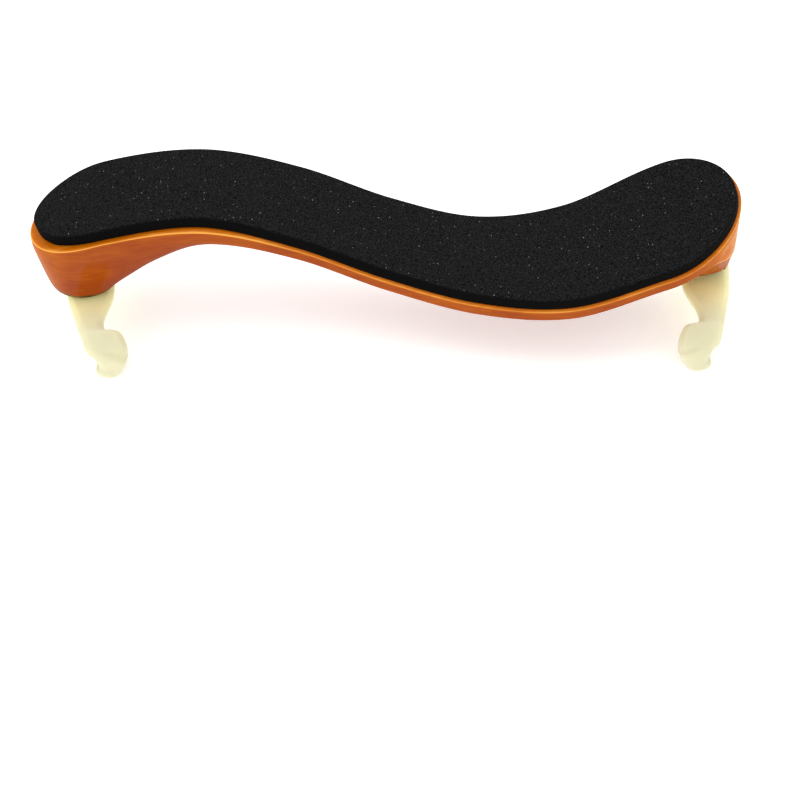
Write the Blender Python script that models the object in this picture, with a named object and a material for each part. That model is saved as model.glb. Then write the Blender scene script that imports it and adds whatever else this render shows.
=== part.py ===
"""Violin shoulder rest: varnished maple body, foam pad and two screw-in forked feet.

Sizes are in millimetres and become metres when a mesh is made.
X runs along the body, Y from the near side to the far side, Z up from the ground under the feet.
"""
import math

import bmesh
import bpy

UNIT = 0.001

# Maple body: length, end roundings in plan and bevel of the far edge
BODY_LENGTH = 232.5
LEFT_END_ROUND = 21.0
RIGHT_END_ROUND = 23.0
FAR_BEVEL = 0.7

# Stations of the seat: share of the length, centre y, centre height over the left boss,
# half width, half rise to the far side, bevel of the near edge
SEAT = (
    (0.0, -2.4, 21.7, 15.8, 1.9, 1.3),
    (0.114, 4.6, 25.5, 16.8, 2.0, 1.3),
    (0.243, 8.6, 25.9, 16.6, 1.3, 1.2),
    (0.372, 6.2, 19.9, 16.2, 1.9, 0.9),
    (0.501, 0.1, 10.8, 16.4, 1.8, 0.7),
    (0.63, -6.2, 6.4, 17.5, 1.7, 0.6),
    (0.759, -7.2, 8.6, 19.9, 3.2, 0.6),
    (0.888, -1.8, 18.3, 20.2, 6.2, 0.6),
    (1.0, 2.0, 26.3, 18.0, 8.2, 0.6),
)

# Stations of the upright rim under the seat's edge: share of the length, height
RIM = (
    (0.0, 3.8),
    (0.94, 3.8),
    (0.965, 6.0),
    (0.987, 12.5),
    (1.0, 17.5),
)

# Stations of the keel between the left boss and the end plate's block:
# share of the way, near edge y, far edge y, height over the left boss
KEEL = (
    (0.034, -9.6, 11.6, 0.2),
    (0.07, -7.0, 12.5, 2.6),
    (0.132, -5.5, 14.5, 10.3),
    (0.225, -1.0, 15.5, 15.1),
    (0.37, 1.0, 11.0, 10.8),
    (0.525, -6.0, 5.0, 1.9),
    (0.68, -13.0, -1.0, -2.5),
    (0.835, -17.0, 0.0, -0.9),
    (0.917, -13.5, 3.0, 0.7),
)
BOSS_FADE = 40.0

# Stations of the flank's fullness over the same way, near side and far side:
# 1 is a straight facet, 2 an ellipse
FULLNESS = (
    (0.0, 1.25, 1.25),
    (0.122, 1.6, 1.6),
    (0.267, 2.0, 2.0),
    (0.835, 2.0, 2.0),
    (0.969, 1.0, 1.6),
    (1.108, 1.0, 1.3),
)

# Foam pad, with the stations of the bare rim beside it: share of the length, near side, far side
PAD_THICKNESS = 4.6
PAD_LEFT_INSET = 2.0
PAD_RIGHT_INSET = 1.0
PAD_EDGE_ROUND = 0.6
PAD_CROWN = 0.25
PAD_INSET = (
    (0.0, 3.6, 1.7),
    (0.03, 3.0, 1.7),
    (0.075, 1.5, 1.5),
    (0.25, 1.4, 0.7),
    (0.5, 0.8, 0.7),
    (1.0, 0.7, 0.7),
)

# Fork, from the stud to a hook: share of the half span, drop, inner x, outer x,
# share of the thickness, lean of the section in degrees
FORK_SPAN = 58.0
FORK_HEIGHT = 16.9
LEAF_THICKNESS = 4.4
LEAF = (
    (0.0, 0.0, 9.6, -7.4, 1.0, 0.0),
    (0.345, 0.3, 8.2, -7.0, 1.0, 4.0),
    (0.641, 1.7, 4.0, -5.7, 1.0, 14.0),
    (0.785, 2.5, 3.7, -5.0, 1.02, 18.0),
    (0.83, 3.1, 8.2, -4.7, 1.05, 24.0),
    (0.986, 6.3, 10.0, -3.4, 1.09, 50.0),
    (1.06, 8.6, 9.0, 1.0, 0.95, 70.0),
)
LEAF_SQUARENESS = 2.5

# Hook at each end of the fork, from its sole up: share of the height, inner x, outer x,
# share of the depth
HOOK_HEIGHT = 9.7
HOOK_DEPTH = 10.0
HOOK = (
    (0.0, 6.4, 0.9, 0.78),
    (0.08, 7.8, 0.0, 0.94),
    (0.3, 9.0, -0.4, 1.0),
    (0.5, 9.3, -0.6, 1.0),
    (0.75, 10.4, -0.9, 1.0),
    (0.9, 9.9, -0.6, 0.93),
    (1.0, 8.2, 0.5, 0.7),
)
HOOK_TURN = 17.0
HOOK_SQUARENESS = 4.0

# Studs: distance from the body's ends, how far the feet are turned, thread and round head
LEFT_STUD_INSET = 14.9
RIGHT_STUD_INSET = 8.4
LEFT_TURN = 11.0
RIGHT_TURN = 176.0
STUD_DIAMETER = 4.5
STUD_REACH = 14.0
STUD_CHAMFER = 0.6
STUD_HEAD_DIAMETER = 8.6
STUD_HEAD_THICKNESS = 1.8
STUD_HEAD_COVER = 1.2
THREAD_PITCH = 0.8
RIGHT_TURNS_IN = 3

# Round plate between the left foot and the body, and the threaded insert above it
LEFT_STANDOFF = 0.5
ROUND_PLATE_DIAMETER = 23.8
ROUND_PLATE_THICKNESS = 1.0
ROUND_PLATE_CHAMFER = 0.3
INSERT_DIAMETER = 8.0
INSERT_FLANGE_DIAMETER = 12.0
INSERT_FLANGE_THICKNESS = 1.2
INSERT_LENGTH = 13.0

# End plate let into the right end, with the right stud's hole and a spare one
END_PLATE_LENGTH = 18.4
END_PLATE_WIDTH = 12.2
END_PLATE_THICKNESS = 1.2
END_PLATE_CORNER = 1.0
END_PLATE_RISE = 1.5
END_PLATE_REACH = 5.1
END_PLATE_LIP = 0.8
HOLE_PITCH = 9.2

# Wooden block over the end plate: flat keel before the plate, and stations of the wood beyond its near edge:
# share of the block's length, width
BLOCK_LEAD = 2.3
BLOCK_NEAR = (
    (0.5, 1.9),
    (1.0, 1.2),
)

# Fits
GLUE_LINE = 0.3
RUNNING_GAP = 0.3
HOLE_CLEARANCE = 0.3
BORE_CLEARANCE = 0.6
BORE_END_ROOM = 1.6
PLATE_MARGIN = 0.3
CUT_OVER = 2.0

# Facets
ROUND_SIDES = 40
BOARD_STEPS = 34
END_STEPS = 8
END_START = 7.0
FLANK_STEPS = 6
LEAF_STEPS = 18
LEAF_AROUND = 20
HOOK_STEPS = 10
HOOK_AROUND = 24
CORNER_STEPS = 4
EDGE_LIMIT = 0.4
SHARP_ANGLE = 32.0

# Places that follow from the sizes
BODY_LEFT = -BODY_LENGTH / 2
BODY_RIGHT = BODY_LENGTH / 2
LEFT_STUD_X = BODY_LEFT + LEFT_STUD_INSET
RIGHT_STUD_X = BODY_RIGHT - RIGHT_STUD_INSET
ROUND_PLATE_Z = FORK_HEIGHT + LEFT_STANDOFF
BOSS_Z = ROUND_PLATE_Z + ROUND_PLATE_THICKNESS + GLUE_LINE
END_PLATE_Z = BOSS_Z + END_PLATE_RISE
END_PLATE_OUTER_X = RIGHT_STUD_X + END_PLATE_REACH
END_PLATE_INNER_X = END_PLATE_OUTER_X - END_PLATE_LENGTH
END_SEAT_Z = END_PLATE_Z + END_PLATE_THICKNESS + GLUE_LINE
SPARE_HOLE_X = RIGHT_STUD_X - HOLE_PITCH
BLOCK_X = END_PLATE_INNER_X - BLOCK_LEAD
KEEL_RIGHT = END_PLATE_OUTER_X + PLATE_MARGIN
STUD_TOP_Z = FORK_HEIGHT + STUD_REACH
INSERT_TOP_Z = BOSS_Z + INSERT_LENGTH


def smooth(table, x, column):
    """Read one column of a station table at x along a smooth curve through its stations."""
    last = len(table) - 1
    x = min(max(x, table[0][0]), table[last][0])
    i = 0
    while i < last - 1 and x > table[i + 1][0]:
        i += 1

    def slope(k):
        lo = max(k - 1, 0)
        hi = min(k + 1, last)
        return (table[hi][column] - table[lo][column]) / (table[hi][0] - table[lo][0])

    step = table[i + 1][0] - table[i][0]
    t = (x - table[i][0]) / step
    a = table[i][column]
    b = table[i + 1][column]
    return (
        a * (1 + 2 * t) * (1 - t) ** 2
        + b * t * t * (3 - 2 * t)
        + step * t * (1 - t) * (slope(i) * (1 - t) - slope(i + 1) * t)
    )


def plain(table, x, column):
    """Read one column of a station table at x along straight lines between its stations."""
    if x <= table[0][0]:
        return table[0][column]
    for low, high in zip(table, table[1:]):
        if x <= high[0]:
            t = (x - low[0]) / (high[0] - low[0])
            return low[column] + t * (high[column] - low[column])
    return table[-1][column]


def share_at(x):
    """Share of the body's length that lies to the left of x."""
    return (x - BODY_LEFT) / BODY_LENGTH


def seat(x, column):
    return smooth(SEAT, share_at(x), column)


def keel_table():
    """Stations of the whole underside: the left boss, the keel and the end plate's block."""
    boss = ROUND_PLATE_DIAMETER / 2 + PLATE_MARGIN
    block = END_PLATE_WIDTH / 2 + PLATE_MARGIN
    block_z = END_PLATE_Z - END_PLATE_LIP
    way = BLOCK_X - LEFT_STUD_X
    table = [(LEFT_STUD_X, -boss, boss, BOSS_Z)]
    for share, near, far, height in KEEL:
        table.append((LEFT_STUD_X + share * way, near, far, BOSS_Z + height))
    table.append((BLOCK_X, -block, block, block_z))
    for share, near in BLOCK_NEAR:
        table.append((BLOCK_X + share * (KEEL_RIGHT - BLOCK_X), -block - near, block, block_z))
    return table


def make_material(name, colour, metallic, roughness):
    material = bpy.data.materials.new(name)
    material.use_nodes = True
    shader = material.node_tree.nodes["Principled BSDF"]
    shader.inputs["Base Color"].default_value = (*colour, 1.0)
    shader.inputs["Metallic"].default_value = metallic
    shader.inputs["Roughness"].default_value = roughness
    return material


def make_object(name, points, faces, material, origin=(0.0, 0.0, 0.0), turn=0.0):
    """Make a closed mesh object; points are taken relative to its origin."""
    mesh = bpy.data.meshes.new(name)
    mesh.from_pydata([tuple(c * UNIT for c in p) for p in points], [], faces)
    mesh.update()
    work = bmesh.new()
    work.from_mesh(mesh)
    bmesh.ops.recalc_face_normals(work, faces=work.faces)
    work.to_mesh(mesh)
    work.free()
    mesh.shade_smooth()
    mesh.set_sharp_from_angle(angle=math.radians(SHARP_ANGLE))
    obj = bpy.data.objects.new(name, mesh)
    obj.location = tuple(c * UNIT for c in origin)
    obj.rotation_euler = (0.0, 0.0, math.radians(turn))
    if material is not None:
        mesh.materials.append(material)
    bpy.context.scene.collection.objects.link(obj)
    return obj


def make_tool(name, points, faces, origin=(0.0, 0.0, 0.0), turn=0.0):
    """Make a hidden solid that shapes another object."""
    obj = make_object(name, points, faces, None, origin, turn)
    obj.hide_render = True
    obj.display_type = "WIRE"
    return obj


def combine(target, tool, operation="DIFFERENCE"):
    modifier = target.modifiers.new(tool.name, "BOOLEAN")
    modifier.operation = operation
    modifier.solver = "EXACT"
    modifier.object = tool


def bridge(rings, split=False):
    """Points and faces of a closed skin over rings of equal size; split makes twisted sides triangles."""
    size = len(rings[0])
    points = [p for ring in rings for p in ring]
    faces = [tuple(range(size))]
    for r in range(len(rings) - 1):
        for k in range(size):
            n = (k + 1) % size
            a, b, c, d = r * size + k, r * size + n, (r + 1) * size + n, (r + 1) * size + k
            faces += [(a, b, c), (a, c, d)] if split else [(a, b, c, d)]
    faces.append(tuple(reversed(range((len(rings) - 1) * size, len(rings) * size))))
    return points, faces


def lathe(profile, x=0.0):
    """Closed solid turned about a vertical axis from (radius, z) pairs, first and last on its ends."""
    rings = []
    for radius, z in profile:
        ring = []
        for k in range(ROUND_SIDES):
            a = 2 * math.pi * k / ROUND_SIDES
            ring.append((x + radius * math.cos(a), radius * math.sin(a), z))
        rings.append(ring)
    return bridge(rings)


def drill(target, name, radius, low, high, x):
    """Cut a vertical hole from low to high."""
    combine(target, make_tool(name, *lathe([(radius, low), (radius, high)], x)))


def rounded(count, half_a, half_b, squareness):
    """Points round an outline that goes from an ellipse at 2 towards a rectangle."""
    power = 2 / squareness
    outline = []
    for k in range(count):
        a = 2 * math.pi * k / count
        c = math.cos(a)
        s = math.sin(a)
        outline.append((
            math.copysign(abs(c) ** power, c) * half_a,
            math.copysign(abs(s) ** power, s) * half_b,
        ))
    return outline


def end_stations(left, right):
    """List the angle, the side and the place of each ring from the left tip to the right tip."""
    turns = [math.radians(END_START + (90.0 - END_START) * k / END_STEPS) for k in range(END_STEPS)]
    start = left + LEFT_END_ROUND
    stop = right - RIGHT_END_ROUND
    stations = [(a, -1, start - LEFT_END_ROUND * math.cos(a)) for a in turns]
    for k in range(BOARD_STEPS + 1):
        stations.append((math.pi / 2, 0, start + (stop - start) * k / BOARD_STEPS))
    stations += [(a, 1, stop + RIGHT_END_ROUND * math.cos(a)) for a in reversed(turns)]
    return stations


def keel_place(angle, side, x):
    """Place of the underside's ring below the seat's ring at x, and its width factor."""
    left_start = BODY_LEFT + LEFT_END_ROUND
    right_start = BODY_RIGHT - RIGHT_END_ROUND
    if side < 0:
        radius = ROUND_PLATE_DIAMETER / 2 + PLATE_MARGIN
        return LEFT_STUD_X - radius * math.cos(angle), math.sin(angle)
    if side > 0:
        reach = math.cos(angle)
        return right_start + (KEEL_RIGHT - right_start) * reach, (1 - reach ** 8) ** 0.125
    fade = min(1.0, (x - left_start) / BOSS_FADE)
    lag = (LEFT_STUD_X - left_start) * (1 - fade * fade * (3 - 2 * fade))
    return x + lag, 1.0


def body_ring(keel, angle, side, x):
    """One cross-section of the body, from the near top edge down and round to the far top edge."""
    round_factor = math.sin(angle)
    half = seat(x, 3) * round_factor
    rise = seat(x, 4) * round_factor
    keel_x, width_factor = keel_place(angle, side, x)
    near = smooth(keel, keel_x, 1)
    far = smooth(keel, keel_x, 2)
    keel_z = smooth(keel, keel_x, 3)
    share = (keel_x - LEFT_STUD_X) / (BLOCK_X - LEFT_STUD_X)
    ring = []
    for way in (-1, 1):
        top_y = seat(x, 1) + way * half
        top_z = BOSS_Z + seat(x, 2) + way * rise
        rim_z = top_z - plain(RIM, share_at(x), 1)
        keel_y = (near + far) / 2 + way * (far - near) / 2 * width_factor
        power = 2 / plain(FULLNESS, share, 1 if way < 0 else 2)
        bevel = seat(x, 5) if way < 0 else FAR_BEVEL
        inward = min(bevel, EDGE_LIMIT * half)
        flank = [(x, top_y - way * inward, top_z), (x, top_y, top_z - bevel)]
        for k in range(FLANK_STEPS + 1):
            a = 0.5 * math.pi * k / FLANK_STEPS
            across = 1 - max(math.cos(a), 0.0) ** power
            down = math.sin(a) ** power
            flank.append((
                x + (keel_x - x) * down,
                top_y + (keel_y - top_y) * across,
                rim_z + (keel_z - rim_z) * down,
            ))
        ring += flank if way < 0 else list(reversed(flank))
    return ring


def pad_ring(angle, x):
    """One cross-section of the pad, lying on the seat with a thin glue line under it."""
    round_factor = math.sin(angle)
    near, far = ((seat(x, 3) - plain(PAD_INSET, share_at(x), c)) * round_factor for c in (1, 2))
    lean = seat(x, 4) / seat(x, 3)
    run = (seat(x + PAD_EDGE_ROUND, 2) - seat(x - PAD_EDGE_ROUND, 2)) / (2 * PAD_EDGE_ROUND)
    size = math.sqrt(1 + run * run + lean * lean)
    edge = min(PAD_EDGE_ROUND, EDGE_LIMIT * near)

    def place(across, height):
        return (
            x - run / size * height,
            seat(x, 1) + across - lean / size * height,
            BOSS_Z + seat(x, 2) + lean * across + height / size,
        )

    top = GLUE_LINE + PAD_THICKNESS
    ring = [place(-near, GLUE_LINE), place(-near, top - edge), place(-near + edge, top)]
    for v, side in ((-0.5, near), (0.0, near), (0.5, far)):
        ring.append(place(v * side, top + PAD_CROWN * (1 - v * v) * round_factor))
    ring += [place(far - edge, top), place(far, top - edge), place(far, GLUE_LINE)]
    ring.append(place(0.0, GLUE_LINE))
    return ring


def leaf_mesh():
    """The leaf-shaped web of a fork, from inside one hook to inside the other."""
    middle = FORK_HEIGHT - LEAF_THICKNESS / 2
    stations = [(i / (len(LEAF) - 1), *row) for i, row in enumerate(LEAF)]
    rings = []
    for k in range(-LEAF_STEPS, LEAF_STEPS + 1):
        way = 1 if k >= 0 else -1
        u = abs(k) / LEAF_STEPS
        reach, drop, inner, outer, thick, lean = (smooth(stations, u, c) for c in range(1, 7))
        lean = math.radians(lean)
        ring = []
        half = thick * LEAF_THICKNESS / 2
        for a, b in rounded(LEAF_AROUND, (inner - outer) / 2, half, LEAF_SQUARENESS):
            along = reach * FORK_SPAN / 2 + b * math.sin(lean)
            ring.append(((inner + outer) / 2 + a, way * along, middle - drop + b * math.cos(lean)))
        rings.append(ring)
    return bridge(rings, split=True)


def hook_mesh(way):
    """One hook of a fork, at the near end for -1 and at the far end for 1."""
    turn = math.radians(HOOK_TURN)
    rings = []
    for k in range(HOOK_STEPS + 1):
        t = k / HOOK_STEPS
        up = t * t * (3 - 2 * t)
        inner, outer, depth = (smooth(HOOK, up, c) for c in range(1, 4))
        ring = []
        half = depth * HOOK_DEPTH / 2
        for a, b in rounded(HOOK_AROUND, (inner - outer) / 2, half, HOOK_SQUARENESS):
            across = (inner + outer) / 2 + a * math.cos(turn) - b * math.sin(turn)
            along = FORK_SPAN / 2 + a * math.sin(turn) + b * math.cos(turn)
            ring.append((across, way * along, up * HOOK_HEIGHT))
        rings.append(ring)
    return bridge(rings, split=True)


def build_body(material):
    """The maple board with the seats and bores for its metal parts."""
    keel = keel_table()
    rings = [body_ring(keel, *station) for station in end_stations(BODY_LEFT, BODY_RIGHT)]
    body = make_object("rest_body", *bridge(rings, split=True), material)
    bore = STUD_DIAMETER / 2 + BORE_CLEARANCE
    flange = INSERT_FLANGE_DIAMETER / 2 + HOLE_CLEARANCE
    barrel = INSERT_DIAMETER / 2 + HOLE_CLEARANCE
    step_z = BOSS_Z + INSERT_FLANGE_THICKNESS + HOLE_CLEARANCE
    drill(body, "insert_flange_cut", flange, BOSS_Z - CUT_OVER, step_z, LEFT_STUD_X)
    drill(body, "insert_barrel_cut", barrel, BOSS_Z, INSERT_TOP_Z + HOLE_CLEARANCE, LEFT_STUD_X)
    left_top = max(STUD_TOP_Z, INSERT_TOP_Z) + BORE_END_ROOM
    drill(body, "left_bore_cut", bore, BOSS_Z, left_top, LEFT_STUD_X)
    side = max(row[3] for row in SEAT) + CUT_OVER
    step = [
        [(x, y, z) for x, y in ((x0, -side), (x0, side), (x1, side), (x1, -side))]
        for x0, x1, z in (
            (END_PLATE_INNER_X - HOLE_CLEARANCE, BODY_RIGHT + CUT_OVER, ROUND_PLATE_Z),
            (END_PLATE_INNER_X - HOLE_CLEARANCE, BODY_RIGHT + CUT_OVER, END_SEAT_Z),
        )
    ]
    combine(body, make_tool("end_plate_seat_cut", *bridge(step)))
    right_top = STUD_TOP_Z + RIGHT_TURNS_IN * THREAD_PITCH + BORE_END_ROOM
    for name, x in (("right_bore_cut", RIGHT_STUD_X), ("spare_bore_cut", SPARE_HOLE_X)):
        drill(body, name, bore, ROUND_PLATE_Z, right_top, x)


def build_pad(material):
    stations = end_stations(BODY_LEFT + PAD_LEFT_INSET, BODY_RIGHT - PAD_RIGHT_INSET)
    rings = [pad_ring(angle, x) for angle, _, x in stations]
    make_object("shoulder_pad", *bridge(rings, split=True), material)


def build_round_plate(material):
    outer = ROUND_PLATE_DIAMETER / 2
    hole = STUD_DIAMETER / 2 + HOLE_CLEARANCE
    low = ROUND_PLATE_Z
    high = low + ROUND_PLATE_THICKNESS
    rim = low + ROUND_PLATE_CHAMFER
    profile = [(outer - ROUND_PLATE_CHAMFER, low), (outer, rim), (outer, high)]
    plate = make_object("round_plate", *lathe(profile, LEFT_STUD_X), material)
    drill(plate, "round_plate_hole_cut", hole, low - CUT_OVER, high + CUT_OVER, LEFT_STUD_X)


def build_insert(material):
    flange = INSERT_FLANGE_DIAMETER / 2
    barrel = INSERT_DIAMETER / 2
    hole = STUD_DIAMETER / 2 + HOLE_CLEARANCE
    step = BOSS_Z + INSERT_FLANGE_THICKNESS
    profile = [(flange, BOSS_Z), (flange, step), (barrel, step), (barrel, INSERT_TOP_Z)]
    insert = make_object("left_insert", *lathe(profile, LEFT_STUD_X), material)
    drill(insert, "left_insert_hole_cut", hole, BOSS_Z - CUT_OVER, INSERT_TOP_Z + CUT_OVER, LEFT_STUD_X)


def build_end_plate(material):
    """A flat plate with rounded corners and two holes for the foot."""
    low = END_PLATE_Z
    high = low + END_PLATE_THICKNESS
    half_length = END_PLATE_LENGTH / 2 - END_PLATE_CORNER
    half_width = END_PLATE_WIDTH / 2 - END_PLATE_CORNER
    middle = (END_PLATE_INNER_X + END_PLATE_OUTER_X) / 2
    outline = []
    for along, across, start in ((1, 1, 0), (-1, 1, 90), (-1, -1, 180), (1, -1, 270)):
        for k in range(CORNER_STEPS + 1):
            a = math.radians(start + 90 * k / CORNER_STEPS)
            x = middle + along * half_length + END_PLATE_CORNER * math.cos(a)
            outline.append((x, across * half_width + END_PLATE_CORNER * math.sin(a)))
    rings = [[(x, y, z) for x, y in outline] for z in (low, high)]
    plate = make_object("end_plate", *bridge(rings), material)
    hole = STUD_DIAMETER / 2 + HOLE_CLEARANCE
    for name, x in (("end_plate_hole_cut", RIGHT_STUD_X), ("end_plate_spare_hole_cut", SPARE_HOLE_X)):
        drill(plate, name, hole, low - CUT_OVER, high + CUT_OVER, x)


def build_foot(side, stud_x, turn, steel, plastic):
    """One stud with its round head, and the fork moulded round that head."""
    shank = STUD_DIAMETER / 2
    head = STUD_HEAD_DIAMETER / 2
    high = FORK_HEIGHT - STUD_HEAD_COVER
    low = high - STUD_HEAD_THICKNESS
    stud = [
        (head, 0.0),
        (head, high - low),
        (shank, high - low),
        (shank, STUD_TOP_Z - STUD_CHAMFER - low),
        (shank - STUD_CHAMFER, STUD_TOP_Z - low),
    ]
    make_object(side + "_stud", *lathe(stud), steel, (stud_x, 0.0, low))
    place = (stud_x, 0.0, 0.0)
    fork = make_object(side + "_fork", *leaf_mesh(), plastic, place, turn)
    for end, way in (("near", -1), ("far", 1)):
        hook = make_tool(side + "_" + end + "_hook_form", *hook_mesh(way), place, turn)
        combine(fork, hook, "UNION")
    pocket = [
        (head + RUNNING_GAP, low - RUNNING_GAP),
        (head + RUNNING_GAP, high + RUNNING_GAP),
        (shank + RUNNING_GAP, high + RUNNING_GAP),
        (shank + RUNNING_GAP, FORK_HEIGHT + CUT_OVER),
    ]
    combine(fork, make_tool(side + "_fork_pocket_cut", *lathe(pocket, stud_x)))


def main():
    for obj in list(bpy.data.objects):
        bpy.data.objects.remove(obj, do_unlink=True)
    maple = make_material("amber varnished maple", (0.52, 0.16, 0.02), 0.0, 0.2)
    foam = make_material("black foam", (0.012, 0.012, 0.013), 0.0, 0.9)
    brass = make_material("antique brass", (0.12, 0.08, 0.035), 1.0, 0.4)
    steel = make_material("zinc plated steel", (0.55, 0.55, 0.53), 1.0, 0.35)
    plastic = make_material("cream moulded plastic", (0.78, 0.74, 0.5), 0.0, 0.35)
    build_body(maple)
    build_pad(foam)
    build_round_plate(brass)
    build_insert(brass)
    build_end_plate(brass)
    build_foot("left", LEFT_STUD_X, LEFT_TURN, steel, plastic)
    build_foot("right", RIGHT_STUD_X, RIGHT_TURN, steel, plastic)


main()
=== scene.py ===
"""Violin shoulder rest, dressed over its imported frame.

A varnished maple body with a glued foam pad, two moulded feet on threaded studs and the metal
that takes them.
Tables and shape functions are in millimetres; properties and meshes are in metres.
X runs along the body, Y from the near side to the far side, Z up from the ground under the feet.
"""
import math

import bmesh
import bpy
from bpy.props import FloatProperty, FloatVectorProperty, PointerProperty
from mathutils import Matrix, Vector, noise
from mathutils.bvhtree import BVHTree


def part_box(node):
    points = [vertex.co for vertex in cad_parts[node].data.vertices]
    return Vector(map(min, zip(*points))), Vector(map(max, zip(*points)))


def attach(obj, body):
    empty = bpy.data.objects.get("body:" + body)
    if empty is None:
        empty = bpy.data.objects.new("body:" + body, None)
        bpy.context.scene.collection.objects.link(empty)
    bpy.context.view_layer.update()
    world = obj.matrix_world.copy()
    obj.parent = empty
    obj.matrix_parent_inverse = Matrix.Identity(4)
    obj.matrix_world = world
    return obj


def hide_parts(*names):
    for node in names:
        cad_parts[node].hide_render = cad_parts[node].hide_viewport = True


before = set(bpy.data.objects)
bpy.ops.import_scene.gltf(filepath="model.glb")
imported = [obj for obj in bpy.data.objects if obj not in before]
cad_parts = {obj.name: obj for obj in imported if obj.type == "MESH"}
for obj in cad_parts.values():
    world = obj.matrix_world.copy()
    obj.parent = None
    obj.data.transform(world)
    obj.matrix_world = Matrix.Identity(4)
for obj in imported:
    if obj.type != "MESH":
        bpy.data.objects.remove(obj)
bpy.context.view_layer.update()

bl_info = {
    "name": "Violin shoulder rest",
    "version": (1, 0, 0),
    "blender": (4, 5, 0),
    "location": "3D View > Sidebar > Shoulder Rest",
    "description": "Dresses the shoulder rest in varnished maple, foam, moulded plastic and metal",
    "category": "Object",
}

MM = 0.001

# Seat: share of the length, centre y, centre height over the left boss, half width,
# half rise to the far side, bevel of the near edge
SEAT = (
    (0.0, -2.4, 21.9, 15.8, 1.7, 0.7),
    (0.114, 4.6, 25.85, 16.8, 1.5, 0.4),
    (0.243, 8.6, 26.05, 16.6, 1.15, 0.9),
    (0.372, 6.2, 19.9, 16.2, 1.9, 0.7),
    (0.501, 0.1, 10.8, 16.4, 1.8, 0.7),
    (0.63, -6.2, 6.4, 17.5, 1.7, 0.6),
    (0.759, -7.2, 8.6, 19.9, 3.2, 0.6),
    (0.888, -1.8, 18.3, 20.2, 6.2, 0.6),
    (1.0, 2.0, 26.3, 18.0, 8.2, 0.6),
)

# Upright rim under the seat's edge: share of the length, height, tone of its near side (raised at both tips
# as painted sheen), how far the varnish on its edge is rubbed (a light line that is partly painted highlight)
RIM = (
    (0.0, 3.8, 0.76, 1.0),
    (0.02, 3.8, 0.62, 1.0),
    (0.06, 3.8, 0.48, 1.0),
    (0.3, 3.8, 0.49, 1.0),
    (0.38, 3.8, 0.49, 0.45),
    (0.9, 3.8, 0.5, 0.45),
    (0.94, 3.8, 0.6, 0.45),
    (0.965, 6.0, 0.74, 0.6),
    (0.987, 12.5, 0.84, 0.8),
    (1.0, 17.5, 0.88, 0.8),
)

# Edge of the rim from the seat out: inset and drop as shares of the bevel, tone added to the seat's
# the added tone makes a light line near the outer edge, partly rubbed varnish and partly painted highlight
RIM_EDGE = (
    (1.2, 0.0, 0.0),
    (1.05, 0.02, 0.0),
    (0.95, 0.08, 0.0),
    (0.5, 0.5, 0.04),
    (0.3, 0.7, 0.2),
    (0.16, 0.82, 0.34),
    (0.06, 0.92, 0.42),
    (0.0, 1.06, 0.34),
    (0.0, 1.2, -0.12),
)

# Keel between the left boss and the end plate's block: share of the way, near edge y, far edge y,
# height over the left boss
KEEL = (
    (0.034, -10.9, 11.6, 0.2),
    (0.07, -7.0, 12.5, 2.6),
    (0.132, -5.5, 14.5, 10.3),
    (0.225, -1.0, 15.5, 15.1),
    (0.37, 1.0, 11.0, 10.8),
    (0.525, -6.0, 5.0, 1.9),
    (0.68, -13.0, -1.0, -2.5),
    (0.835, -17.0, 0.0, -0.9),
    (0.917, -13.5, 3.0, 0.7),
)

# Wood beyond the near edge of the end plate's block: share of the block's length, width
BLOCK_NEAR = (
    (0.0, 0.0),
    (0.5, 1.9),
    (1.0, 1.2),
)

# Fullness of the flanks over the keel's way, near and far: 1 is a straight facet, 2 an ellipse
FULLNESS = (
    (0.0, 1.25, 1.25),
    (0.122, 1.6, 1.6),
    (0.267, 2.0, 2.0),
    (0.835, 2.0, 2.0),
    (0.969, 1.0, 1.6),
    (1.108, 1.0, 1.3),
)

# Bare rim left beside the pad: share of the length, near side, far side
PAD_INSET = (
    (0.0, 4.2, 1.7),
    (0.012, 3.4, 1.7),
    (0.024, 2.0, 1.7),
    (0.04, 1.1, 1.7),
    (0.075, 1.3, 1.5),
    (0.25, 1.4, 0.7),
    (0.33, 0.7, 0.7),
    (0.42, 0.4, 0.7),
    (0.5, 0.5, 0.7),
    (1.0, 0.7, 0.7),
)

# Fork from the stud to a hook: share of the half span, drop, inner x, outer x, share of the thickness,
# lean of the section in degrees
LEAF = (
    (0.0, 0.0, 9.6, -7.4, 1.0, 0.0),
    (0.345, 0.3, 8.2, -7.0, 1.0, 4.0),
    (0.641, 1.7, 4.0, -5.7, 1.0, 14.0),
    (0.785, 2.5, 3.7, -5.0, 1.02, 18.0),
    (0.83, 3.1, 8.2, -4.7, 1.05, 24.0),
    (0.986, 6.3, 10.0, -3.4, 1.09, 50.0),
    (1.06, 8.6, 9.0, 1.0, 0.95, 70.0),
)

# Hook from its sole up: share of the height, inner x, outer x, share of the depth
HOOK = (
    (0.0, 5.4, 0.0, 0.68),
    (0.08, 6.9, -1.1, 0.88),
    (0.18, 7.6, -1.2, 0.97),
    (0.32, 8.3, 0.2, 1.0),
    (0.5, 9.0, 0.0, 1.0),
    (0.7, 9.7, -0.9, 0.98),
    (0.86, 9.3, -0.6, 0.88),
    (1.0, 7.4, 0.6, 0.6),
)
HOOK_SQUARENESS = 3.0

# Tones of the varnish, from 0 for the deep keel to 1 for bare worn edges and painted highlights;
# the last is the lightest that a flank of the right half gets, which leaves the facet under the right end's
# painted sheen darker, a painted shade
SEAT_TONE = 0.74
FAR_TONE = 0.6
STEP_TONE = 0.6
RIGHT_FLANK_SHADE_TONE = 0.5

# Share of its tone that a flank loses on the way down, on the near side by share of the keel's way
NEAR_FADE = ((0.0, 0.1), (0.15, 0.35))
FAR_FADE = 0.7

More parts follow.
